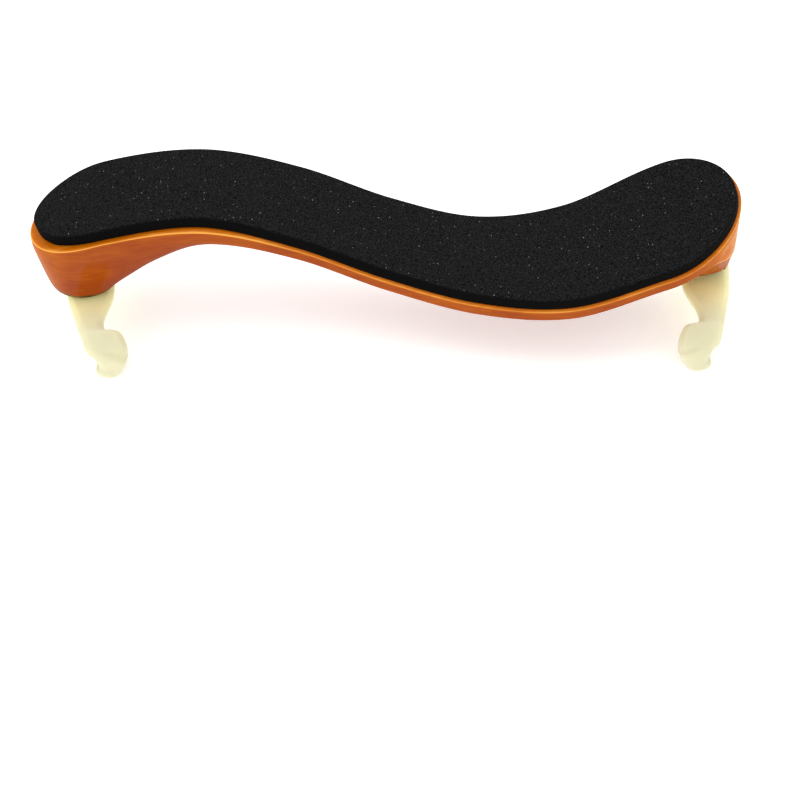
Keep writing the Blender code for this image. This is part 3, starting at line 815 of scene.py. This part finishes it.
class Board:
    """The carved board's curves, in millimetres."""

    def __init__(self, values):
        sizes = Sizes(values)
        self.length = sizes.length
        self.left = -sizes.length / 2
        self.rounds = (sizes.left_round, sizes.right_round)
        self.far_bevel = sizes.far_bevel
        self.margin = sizes.plate_margin
        self.fade = sizes.boss_fade
        self.chamfer = sizes.lip_chamfer
        self.block_x = END_PLATE_X[0] - sizes.block_lead
        self.boss = ROUND_PLATE_RADIUS + self.margin
        self.keel_right = END_PLATE_X[1] + self.margin
        self.start = self.left + self.rounds[0]
        self.stop = -self.left - self.rounds[1]
        block = END_PLATE_WIDTH / 2 + self.margin
        block_z = END_PLATE_Z[0] - sizes.plate_lip
        way = self.block_x - LEFT_STUD_X
        self.keel = [(LEFT_STUD_X, -self.boss, self.boss, BOSS_Z)]
        self.keel += [(LEFT_STUD_X + s * way, near, far, BOSS_Z + h) for s, near, far, h in KEEL]
        span = self.keel_right - self.block_x
        self.keel += [(self.block_x + s * span, -block - near, block, block_z) for s, near in BLOCK_NEAR]

    def share(self, x):
        """Share of the board's length at x."""
        return (x - self.left) / self.length

    def seat(self, x, column):
        return smooth(SEAT, self.share(x), column)

    def stations(self, left_inset=0.0, right_inset=0.0):
        """Angle, side and place of each section from the left tip to the right tip."""
        turns = [0.5 * math.pi * k / END_STEPS for k in range(END_STEPS)]
        low, high = self.start + left_inset, self.stop - right_inset
        found = [(a, -1, low) for a in turns]
        found += [(0.5 * math.pi, 0, low + (high - low) * k / BOARD_STEPS) for k in range(BOARD_STEPS + 1)]
        return found + [(a, 1, high) for a in reversed(turns)]

    def plan(self, station, way, share=1.0, inset=0.0, bare=0.0):
        """X and distance from the centre line of a point on the seat, inset from its outline."""
        angle, side, x = station
        if side:
            x += side * (self.rounds[0 if side < 0 else 1] * share - inset) * math.cos(angle)
        half = (self.seat(x, 3) - bare) * share - inset
        return x, way * half * math.sin(angle)

    def seat_point(self, x, across, height=0.0):
        """A point over the seat, raised along the seat's own normal."""
        lean = self.seat(x, 4) / self.seat(x, 3)
        run = (self.seat(x + SLOPE_STEP, 2) - self.seat(x - SLOPE_STEP, 2)) / (2 * SLOPE_STEP)
        scale = height / math.sqrt(1 + run * run + lean * lean)
        z = BOSS_Z + self.seat(x, 2) + lean * across
        return x - run * scale, self.seat(x, 1) + across - lean * scale, z + scale

    def keel_place(self, station):
        """Place of the underside's section below a section of the seat, and its width factor."""
        angle, side, x = station
        if side < 0:
            return LEFT_STUD_X - self.boss * math.cos(angle), math.sin(angle)
        if side > 0:
            reach = math.cos(angle)
            width = (1 - reach ** KEEL_SQUARENESS) ** (1 / KEEL_SQUARENESS)
            return self.stop + (self.keel_right - self.stop) * reach, width
        fade = min(1.0, (x - self.start) / self.fade)
        lag = (LEFT_STUD_X - self.start) * (1 - fade * fade * (3 - 2 * fade))
        return x + lag, 1.0

    def upper_side(self, station, way, bevel, rubbed):
        """Points and tones from the seat over the rim's edge, whose light line is partly worn varnish and
        partly painted highlight.
        """
        points = [(self.seat_point(*self.plan(station, way, s)), SEAT_TONE) for s in SEAT_SHARES]
        for inset, drop, edge_wear_and_highlight in RIM_EDGE:
            x, y, z = self.seat_point(*self.plan(station, way, 1.0, inset * bevel))
            points.append(((x, y, z - drop * bevel), SEAT_TONE + edge_wear_and_highlight * rubbed))
        return points

    def section(self, station):
        """Points and tones round one section: over the seat, down the near flank and up the far one."""
        turn = math.sin(station[0])
        keel_x, width = self.keel_place(station)
        near, far, keel_z = (smooth(self.keel, keel_x, c) for c in (1, 2, 3))
        middle_y = (near + far) / 2
        along = (keel_x - LEFT_STUD_X) / (self.block_x - LEFT_STUD_X)
        tip_x = self.plan(station, 1)[0]
        share = self.share(tip_x)
        rim_height = smooth(RIM, share, 1)
        # the near tone is lifted at both tips by painted sheen; rubbed sets the edge's light line of wear and
        # painted highlight
        golden, rubbed = plain(RIM, share, 2), plain(RIM, share, 3)
        sides = []
        # at the tips both sides run into the same middle shape
        for way, fade, full, bevel, lit, swell, ridge_wear_and_highlight in zip(
            (-1, 1),
            evened([plain(NEAR_FADE, along), FAR_FADE], turn),
            evened([plain(FULLNESS, along, c) for c in (1, 2)], turn),
            evened([self.seat(tip_x, 5), self.far_bevel], turn),
            (golden, golden) if station[1] > 0 else evened([golden, FAR_TONE], turn),
            (plain(SWELL_TONE, along), 0.0),
            (plain(RIDGE_WEAR_AND_HIGHLIGHT, along), 0.0),
        ):
            points = self.upper_side(station, way, bevel, rubbed)
            top_x, top_y, top_z = self.seat_point(*self.plan(station, way))
            for fall in RIM_FALLS:
                points.append(((top_x, top_y, top_z - bevel - (rim_height - bevel) * fall), lit))
            keel_y = middle_y + way * (far - near) / 2 * width
            rim_z = top_z - rim_height
            # painted shade: in the right half a flank stays darker than the painted sheen of the wall above
            # it
            flank = lit if top_x < 0 else min(lit, RIGHT_FLANK_SHADE_TONE)
            for k in range(FLANK_STEPS + 1):
                a = 0.5 * math.pi * k / FLANK_STEPS
                inward = 1 - max(math.cos(a), 0.0) ** (2 / full)
                down = math.sin(a) ** (2 / full)
                tone = flank * (1 - fade * down) + swell * math.sin(math.pi * down)
                # light lines of rubbed varnish and painted highlight along a flank's top (brow) and its keel
                # edge (ridge)
                if k == 0:
                    tone = lit + plain(BROW_WEAR_AND_HIGHLIGHT, share)
                elif k == FLANK_STEPS:
                    tone += ridge_wear_and_highlight
                points.append(((
                    top_x + (keel_x - top_x) * down,
                    top_y + (keel_y - top_y) * inward,
                    rim_z + (keel_z - rim_z) * down,
                ), tone))
            for s in KEEL_SHARES:
                y = keel_y + (middle_y - keel_y) * s
                points.append(((keel_x, y, keel_z), lit * (1 - fade) * (1 - s)))
            sides.append(points)
        crest = (self.seat_point(*self.plan(station, 1, 0.0)), SEAT_TONE)
        foot = ((keel_x, middle_y, keel_z), 0.0)
        return [crest] + sides[0] + [foot] + sides[1][::-1]


def make_body(values, metal):
    board = Board(values)
    varnish = varnished_maple(values)
    bare = bare_maple(values)
    sections = [board.section(station) for station in board.stations()]
    body = new_loft("maple_body", sections, "tone", varnish, bare)
    step_x = END_PLATE_X[0] - board.margin
    step_low = board.keel[-1][3]
    step_top = END_PLATE_Z[1] + CLEARANCE
    tool_x = -board.left + OVERCUT
    tool_z = step_low - OVERCUT
    profile = [
        (step_x - board.chamfer - OVERCUT, tool_z),
        (step_x, step_low + board.chamfer),
        (step_x, step_top),
        (tool_x, step_top),
        (tool_x, tool_z),
    ]
    rings = [[(x, y, z) for x, z in profile] for y in (-STEP_REACH, STEP_REACH)]
    step = new_object("step_cut", *skin(rings), varnish, bare)
    # the tool's first side cuts the chamfer
    step.data.polygons[0].material_index = 1
    sizes = Sizes(metal)
    bore, flange, barrel = (d / 2 + CLEARANCE for d in (sizes.hole, sizes.flange, sizes.barrel))
    flange_top = BOSS_Z + sizes.flange_thickness + CLEARANCE
    bore_top = STUD_TOP + RIGHT_BORE_ROOM
    combine(body, [
        step,
        drill("flange_cut", flange, BOSS_Z - OVERCUT, flange_top, LEFT_STUD_X, varnish),
        drill("barrel_cut", barrel, BOSS_Z, INSERT_TOP + CLEARANCE, LEFT_STUD_X, varnish),
        drill("left_bore_cut", bore, BOSS_Z, INSERT_TOP + LEFT_BORE_ROOM, LEFT_STUD_X, varnish),
        drill("right_bore_cut", bore, tool_z, bore_top, RIGHT_STUD_X, varnish),
        drill("spare_bore_cut", bore, tool_z, bore_top, RIGHT_STUD_X - sizes.hole_pitch, varnish),
    ])
    for v, tone in zip(body.data.vertices, body.data.attributes["tone"].data):
        if v.co.x > step_x * MM - WELD and abs(v.co.z - step_top * MM) < WELD:
            tone.value = STEP_TONE
    soften(body)
    keep(body, "rest", "maple", "rest_body")


def pad_section(board, sizes, station):
    """Points round one section of the pad, each with how far it is on the cut edge."""
    top = GLUE_LINE + sizes.thickness
    wall = sizes.thickness - sizes.edge_round - PAD_FOOT
    # share of the half width, inset, height and how far on the cut edge, which sets the painted shade of the
    # sides
    outline = [(s, 0.0, GLUE_LINE, 1.0) for s in PAD_UNDER_SHARES]
    outline.append((1.0, PAD_FOOT, GLUE_LINE, 1.0))
    for k in range(SIDE_STEPS + 1):
        outline.append((1.0, 0.0, GLUE_LINE + PAD_FOOT + wall * k / SIDE_STEPS, 1.0))
    for k in range(1, ROUND_STEPS + 1):
        t = 0.5 * math.pi * k / ROUND_STEPS
        inset = sizes.edge_round * (1 - math.cos(t))
        outline.append((1.0, inset, top - sizes.edge_round * (1 - math.sin(t)), 1 - k / ROUND_STEPS))
    outline += [(s, 0.0, top, 0.0) for s in PAD_TOP_SHARES]
    sides = []
    for way, column in ((-1, 1), (1, 2)):
        bare = plain(PAD_INSET, board.share(board.plan(station, way)[0]), column)
        points = []
        for share, inset, height, cut in outline:
            x, across = board.plan(station, way, share, inset, bare)
            # inside its rounded edge the top is crowned and uneven
            if share < 1 and not cut:
                spot = Vector((x / RIPPLE_ALONG, across / RIPPLE_ACROSS, RIPPLE_LEVEL))
                height += sizes.crown * (1 - share * share) + sizes.ripple * noise.noise(spot)
            points.append((board.seat_point(x, across, height), cut))
        sides.append(points)
    x = board.plan(station, 1, 0.0)[0]
    low = (board.seat_point(x, 0.0, GLUE_LINE), 1.0)
    high = (board.seat_point(x, 0.0, top + sizes.crown), 0.0)
    return [low] + sides[0] + [high] + sides[1][::-1]


def make_pad(values, body_values):
    board = Board(body_values)
    sizes = Sizes(values)
    stations = board.stations(sizes.left_inset, sizes.right_inset)
    sections = [pad_section(board, sizes, station) for station in stations]
    pad = new_loft("foam_pad", sections, "cut", black_foam(values), sharp=SOFT_ANGLE)
    keep(pad, "rest", "foam", "shoulder_pad")


# Shape of the feet

def leaf_section(half_width, half_thickness, bevel):
    """Outline across the leaf: slightly crowned faces, bevelled to thin edges."""
    flat = half_width - min(bevel, BEVEL_LIMIT * half_width)
    edge = EDGE_THICKNESS * half_thickness
    brow = BROW_THICKNESS * half_thickness
    half = [(half_width, 0.0)]
    for k in range(BEVEL_STEPS):
        t = k / BEVEL_STEPS
        half.append((half_width + (flat - half_width) * t, edge + (brow - edge) * t))
    for k in range(FACE_STEPS + 1):
        t = 1 - k / FACE_STEPS
        half.append((flat * t, half_thickness - (half_thickness - brow) * t ** 2))
    top = half + [(-a, b) for a, b in reversed(half[:-1])]
    return top + [(a, -b) for a, b in reversed(top[1:-1])]


def rounded(count, half_a, half_b, squareness):
    """Points round an outline that goes from an ellipse at 2 towards a rectangle."""
    power = 2 / squareness
    outline = []
    for k in range(count):
        a = 2 * math.pi * k / count
        c, s = math.cos(a), math.sin(a)
        outline.append((
            math.copysign(abs(c) ** power, c) * half_a,
            math.copysign(abs(s) ** power, s) * half_b,
        ))
    return outline


def leaf_rings(sizes):
    """Rings along the leaf, from one hook to the other."""
    centre = FORK_TOP - sizes.thickness / 2
    stations = [(i / (len(LEAF) - 1), *row) for i, row in enumerate(LEAF)]
    rings = []
    for k in range(-LEAF_STEPS, LEAF_STEPS + 1):
        way = 1 if k >= 0 else -1
        reach, drop, inner, outer, thick, lean = (
            smooth(stations, abs(k) / LEAF_STEPS, c) for c in range(1, 7))
        lean = math.radians(lean)
        ring = []
        for a, b in leaf_section((inner - outer) / 2, thick * sizes.thickness / 2, sizes.bevel):
            along = reach * sizes.span / 2 + b * math.sin(lean)
            ring.append(((inner + outer) / 2 + a, way * along, centre - drop + b * math.cos(lean)))
        rings.append(ring)
    return rings


def hook_rings(sizes, turn, way):
    """Rings up one hook, from its sole to its sloping top."""
    rings = []
    for k in range(HOOK_STEPS + 1):
        t = k / HOOK_STEPS
        up = t * t * (3 - 2 * t)
        inner, outer, depth = (smooth(HOOK, up, c) for c in range(1, 4))
        half = (inner - outer) / 2
        ring = []
        for a, b in rounded(HOOK_AROUND, half, depth * sizes.hook_depth / 2, HOOK_SQUARENESS):
            across = (inner + outer) / 2 + a * math.cos(turn) - b * math.sin(turn)
            along = sizes.span / 2 + a * math.sin(turn) + b * math.cos(turn)
            height = sizes.hook_height - sizes.hook_fall * (1 + a / half) / 2
            ring.append((across, way * along, up * height))
        rings.append(ring)
    return rings


def off_axis(p):
    """Distance of a point from the stud's axis in millimetres."""
    return math.hypot(p.x, p.y) / MM


def press_gate_mark(mesh, radius, low):
    """Press the round gate mark into the underside of the leaf."""
    reach = GATE_REACH * radius
    skin_z = low + GATE_SKIN

    def marked(place):
        return off_axis(place) < reach and place.z / MM < skin_z

    work = bmesh.new()
    work.from_mesh(mesh)
    near = [f for f in work.faces if f.normal.z < FACE_DOWN and marked(f.calc_center_median())]
    edges = list(dict.fromkeys(e for f in near for e in f.edges))
    bmesh.ops.subdivide_edges(work, edges=edges, cuts=2, use_grid_fill=True)
    for v in work.verts:
        if v.normal.z < POINT_DOWN and marked(v.co):
            r = off_axis(v.co)
            ring = GATE_RING[0] * math.exp(-((r - radius) / GATE_RING[1]) ** 2)
            centre = GATE_MIDDLE[0] * math.exp(-(r / GATE_MIDDLE[1]) ** 2)
            dish = GATE_DISH[0] / (1 + math.exp((r - 2 * radius) / GATE_DISH[1]))
            v.co.z -= (ring + centre - dish) * MM
    work.to_mesh(mesh)
    work.free()


def note_thickness(mesh, full, pocket):
    """Keep how deep the moulding's colour is at each point.

    It is full in the thick middle, and less at thin edges and on the hooks; near the stud the core colour is
    partly painted light, for warm light in the body's shade.
    """
    tree = BVHTree.FromPolygons([v.co for v in mesh.vertices], [p.vertices for p in mesh.polygons])
    mesh.update()
    found = []
    for v in mesh.vertices:
        inward = -v.normal
        depth = tree.ray_cast(v.co + inward * SKIN_DEPTH * MM, inward, full * MM)[3]
        out = off_axis(v.co)
        # painted light: the core colour fades off from the stud towards the hooks, out of the body's shade
        deep = 1 - CORE_LIGHT_FADE * min(1.0, max(0.0, out - 2 * pocket) / (2 * pocket))
        # over the stud's pocket the moulding counts as solid
        if depth is not None and out >= pocket:
            deep *= min(1.0, depth / (full * MM))
        found.append(deep)
    links = [[] for _ in found]
    for a, b in (e.vertices for e in mesh.edges):
        links[a].append(b)
        links[b].append(a)
    for _ in range(EVENING_ROUNDS):
        found = [(found[i] + sum(found[j] for j in near)) / (1 + len(near)) for i, near in enumerate(links)]
    mesh.attributes.new("thick", "FLOAT", "POINT").data.foreach_set("value", found)


def make_feet(values, metal):
    sizes = Sizes(values)
    stud = Sizes(metal)
    plastic = cream_plastic(values)
    form = new_object("fork_form", *skin(leaf_rings(sizes)), plastic)
    hooks = [new_object("hook_form", *skin(hook_rings(sizes, values.hook_turn, way))) for way in (-1, 1)]
    combine(form, hooks, "UNION")
    head = stud.head / 2 + CLEARANCE
    shank = stud.shank / 2 + CLEARANCE
    low = low_z("left_stud") - CLEARANCE
    high = low_z("left_stud") + stud.head_thickness + CLEARANCE
    pocket = turned([(head, low), (head, high), (shank, high), (shank, FORK_TOP + OVERCUT)])
    combine(form, [new_object("pocket_cut", *skin(pocket))])
    remesh = form.modifiers.new("moulded skin", "REMESH")
    remesh.mode = "VOXEL"
    remesh.voxel_size = values.skin
    ease = form.modifiers.new("mould radii", "SMOOTH")
    ease.factor = 0.5
    ease.iterations = EASING_ROUNDS
    settle_modifiers(form)
    press_gate_mark(form.data, sizes.gate_ring / 2, FORK_TOP - sizes.thickness)
    note_thickness(form.data, sizes.thickness, head + HEAD_WALL)
    for side, x, turn in (
        ("left", LEFT_STUD_X, values.left_turn),
        ("right", RIGHT_STUD_X, values.right_turn),
    ):
        mesh = form.data.copy()
        mesh.transform(Matrix.Translation((x * MM, 0, 0)) @ Matrix.Rotation(turn, 4, "Z"))
        fork = bpy.data.objects.new(side + "_forked_foot", mesh)
        mesh.name = fork.name
        bpy.context.scene.collection.objects.link(fork)
        soften(fork, SOFT_ANGLE)
        keep(fork, side + "_foot", "cream_plastic", side + "_fork")
    remove(form)


# Metal

def make_studs(values):
    sizes = Sizes(values)
    zinc = turned_metal("zinc plated steel", values.zinc_colour)
    head, root, crest = sizes.head / 2, sizes.root / 2, sizes.shank / 2
    for side, x in (("left", LEFT_STUD_X), ("right", RIGHT_STUD_X)):
        low, top = low_z(side + "_stud"), high_z(side + "_stud")
        neck = low + sizes.head_thickness
        rings = turned([
            (head - TURNED_EDGE, low),
            (head, low + TURNED_EDGE),
            (head, neck - TURNED_EDGE),
            (head - TURNED_EDGE, neck),
            (root, neck),
        ], x)
        rings += threaded(neck + TURNED_EDGE, top - STUD_POINT, root, crest, sizes.pitch, x)
        rings += turned([(root - STUD_POINT, top)], x)
        stud = new_object(side + "_threaded_stud", *skin(rings), zinc)
        keep(stud, side + "_stud_body", "steel", side + "_stud")


def plate_rings(corner, levels):
    """Rings round the end plate's outline, each at a height and grown outwards."""
    half_x, half_y = (END_PLATE_X[1] - END_PLATE_X[0]) / 2, END_PLATE_WIDTH / 2
    centre = sum(END_PLATE_X) / 2
    rings = []
    for z, grow in levels:
        ring = []
        for along, across, start in ((1, 1, 0), (-1, 1, 90), (-1, -1, 180), (1, -1, 270)):
            for k in range(CORNER_STEPS + 1):
                a = math.radians(start + 90 * k / CORNER_STEPS)
                x = centre + along * (half_x - corner) + (corner + grow) * math.cos(a)
                ring.append((x, across * (half_y - corner) + (corner + grow) * math.sin(a), z))
        rings.append(ring)
    return rings


def make_plates(values):
    sizes = Sizes(values)
    bronze = patinated_bronze(values)
    edge, hole, outer = sizes.chamfer, sizes.hole / 2, ROUND_PLATE_RADIUS
    low, high = ROUND_PLATE_Z
    profile = [
        (hole + edge, low),
        (outer - edge, low),
        (outer, low + edge),
        (outer, high),
        (hole, high),
        (hole, low + edge),
    ]
    disc = new_object("round_plate_disc", *skin(turned(profile, LEFT_STUD_X), closed=True), bronze)
    keep(disc, "rest", "bronze", "round_plate")
    low, high = END_PLATE_Z
    rings = plate_rings(sizes.corner, ((low, -edge), (low + edge, 0.0), (high - edge, 0.0), (high, -edge)))
    plate = new_object("end_plate_bar", *skin(rings), bronze)
    wide = hole + edge + CUT_OVERSHOOT
    tools = []
    for x in (RIGHT_STUD_X, RIGHT_STUD_X - sizes.hole_pitch):
        rings = turned([(wide, low - CUT_OVERSHOOT), (hole, low + edge)], x)
        rings += threaded(
            low + edge + CUT_GAP, high - edge - CUT_GAP, hole, hole + THREAD_DEPTH, sizes.pitch, x)
        rings += turned([(hole, high - edge), (wide, high + CUT_OVERSHOOT)], x)
        tools.append(new_object("thread_cut", *skin(rings)))
    combine(plate, tools)
    soften(plate)
    keep(plate, "rest", "bronze", "end_plate")


def make_insert(values):
    sizes = Sizes(values)
    brass = turned_metal("turned brass", values.brass_colour)
    flange, barrel, hole = sizes.flange / 2, sizes.barrel / 2, sizes.hole / 2
    core, mouth = barrel - BARB_DEPTH, hole + INSERT_MOUTH
    low, high = BOSS_Z, INSERT_TOP
    step = low + sizes.flange_thickness
    rings = turned([
        (mouth, low),
        (flange - TURNED_EDGE, low),
        (flange, low + TURNED_EDGE),
        (flange, step),
        (core, step),
    ], LEFT_STUD_X)
    rings += threaded(step + TURNED_EDGE, high - BARB_DEPTH, core, barrel, BARB_PITCH, LEFT_STUD_X)
    rings += turned([(barrel - BARB_POINT, high), (mouth, high)], LEFT_STUD_X)
    inside = threaded(
        low + INSERT_MOUTH, high - INSERT_MOUTH, hole, hole + THREAD_DEPTH, sizes.pitch, LEFT_STUD_X)
    insert = new_object("threaded_insert", *skin(rings + inside[::-1], closed=True), brass)
    keep(insert, "rest", "insert_brass", "left_insert")


# Stage

def make_floor(values):
    """Lay a pale matte light table, softly lit from within, so that shadows are faint."""
    material, tree, shader = new_material(
        "pale light table", Base_Color=values.floor_colour, Roughness=0.8, Specular_IOR_Level=0.2,
        Emission_Strength=values.floor_glow)
    # seen from below the floor is clear, so that the underside shows
    underside = add_node(tree, "NewGeometry").outputs["Backfacing"]
    clear = add_node(tree, "BsdfTransparent")
    mixed = add_node(tree, "MixShader", {0: underside, 1: shader, 2: clear})
    feed(tree.nodes["Material Output"], {"Surface": mixed})
    half, rise = values.floor_size / MM, values.floor_rise / MM
    corners = [(x * half, y * half, rise) for x, y in ((-1, -1), (1, -1), (1, 1), (-1, 1))]
    floor = new_object("floor", corners, [(0, 1, 2, 3)], material)


def add_softbox(name, place, width, height, power):
    light = bpy.data.lights.new(name, "AREA")
    light.shape = "RECTANGLE"
    light.size = width
    light.size_y = height
    light.energy = power
    obj = bpy.data.objects.new(name, light)
    obj.location = place
    obj.rotation_euler = (Vector(LIGHT_AIM) - Vector(place)).to_track_quat("-Z", "Y").to_euler()
    bpy.context.scene.collection.objects.link(obj)


def make_light_and_camera(values):
    scene = bpy.context.scene
    scene.view_settings.view_transform = "Standard"
    world = bpy.data.worlds.new("pale surround")
    world.use_nodes = True
    feed(world.node_tree.nodes["Background"], {"Color": values.sky_colour, "Strength": values.sky_strength})
    scene.world = world
    add_softbox("overhead softbox", *TOP_SOFTBOX, values.top_power)
    add_softbox("front softbox", *FRONT_SOFTBOX, values.front_power)
    camera = bpy.data.cameras.new("camera")
    camera.sensor_width = 36.0
    camera.lens = values.lens
    camera.clip_start = 0.01
    obj = bpy.data.objects.new("camera", camera)
    turn, tilt, roll = values.camera_turn
    obj.matrix_world = (
        Matrix.Translation(values.camera_place)
        @ Matrix.Rotation(turn, 4, "Z") @ Matrix.Rotation(tilt, 4, "X") @ Matrix.Rotation(roll, 4, "Z"))
    scene.collection.objects.link(obj)
    scene.camera = obj


class SHOULDERREST_OT_maple_body(bpy.types.Operator):
    """Carve the maple body with its step and bores"""
    bl_idname = "shoulder_rest.maple_body"
    bl_label = "Maple Body"

    def execute(self, context):
        values = context.scene.shoulder_rest
        make_body(values.body, values.metal)
        return {"FINISHED"}


class SHOULDERREST_OT_foam_pad(bpy.types.Operator):
    """Lay the foam pad on the seat"""
    bl_idname = "shoulder_rest.foam_pad"
    bl_label = "Foam Pad"

    def execute(self, context):
        values = context.scene.shoulder_rest
        make_pad(values.pad, values.body)
        return {"FINISHED"}


class SHOULDERREST_OT_feet(bpy.types.Operator):
    """Mould the two forked feet"""
    bl_idname = "shoulder_rest.feet"
    bl_label = "Forked Feet"

    def execute(self, context):
        values = context.scene.shoulder_rest
        make_feet(values.foot, values.metal)
        return {"FINISHED"}


class SHOULDERREST_OT_studs(bpy.types.Operator):
    """Turn the feet's threaded studs"""
    bl_idname = "shoulder_rest.studs"
    bl_label = "Threaded Studs"

    def execute(self, context):
        make_studs(context.scene.shoulder_rest.metal)
        return {"FINISHED"}


class SHOULDERREST_OT_plates(bpy.types.Operator):
    """Make the round plate and the end plate"""
    bl_idname = "shoulder_rest.plates"
    bl_label = "Bronze Plates"

    def execute(self, context):
        make_plates(context.scene.shoulder_rest.metal)
        return {"FINISHED"}


class SHOULDERREST_OT_insert(bpy.types.Operator):
    """Turn the threaded insert behind the round plate"""
    bl_idname = "shoulder_rest.insert"
    bl_label = "Threaded Insert"

    def execute(self, context):
        make_insert(context.scene.shoulder_rest.metal)
        return {"FINISHED"}


class SHOULDERREST_OT_stage(bpy.types.Operator):
    """Set the floor, the light and the camera"""
    bl_idname = "shoulder_rest.stage"
    bl_label = "Stage"

    def execute(self, context):
        values = context.scene.shoulder_rest.stage
        make_floor(values)
        make_light_and_camera(values)
        return {"FINISHED"}


OPERATORS = (
    SHOULDERREST_OT_stage,
    SHOULDERREST_OT_maple_body,
    SHOULDERREST_OT_foam_pad,
    SHOULDERREST_OT_feet,
    SHOULDERREST_OT_studs,
    SHOULDERREST_OT_plates,
    SHOULDERREST_OT_insert,
)


class SHOULDERREST_PT_sidebar(bpy.types.Panel):
    """Lists the steps that make the shoulder rest"""
    bl_idname = "SHOULDERREST_PT_sidebar"
    bl_label = "Shoulder Rest"
    bl_space_type = "VIEW_3D"
    bl_region_type = "UI"
    bl_category = "Shoulder Rest"

    def draw(self, context):
        for operator in OPERATORS:
            self.layout.operator(operator.bl_idname)


CLASSES = (
    MapleBodyValues,
    FoamPadValues,
    FootValues,
    MetalValues,
    StageValues,
    ShoulderRestValues,
    *OPERATORS,
    SHOULDERREST_PT_sidebar,
)


def register():
    for cls in CLASSES:
        bpy.utils.register_class(cls)
    bpy.types.Scene.shoulder_rest = PointerProperty(type=ShoulderRestValues)


def unregister():
    del bpy.types.Scene.shoulder_rest
    for cls in reversed(CLASSES):
        bpy.utils.unregister_class(cls)


def main():
    register()
    bpy.ops.shoulder_rest.stage()
    bpy.ops.shoulder_rest.maple_body()
    bpy.ops.shoulder_rest.foam_pad()
    bpy.ops.shoulder_rest.feet()
    bpy.ops.shoulder_rest.studs()
    bpy.ops.shoulder_rest.plates()
    bpy.ops.shoulder_rest.insert()


if __name__ == "__main__":
    main()
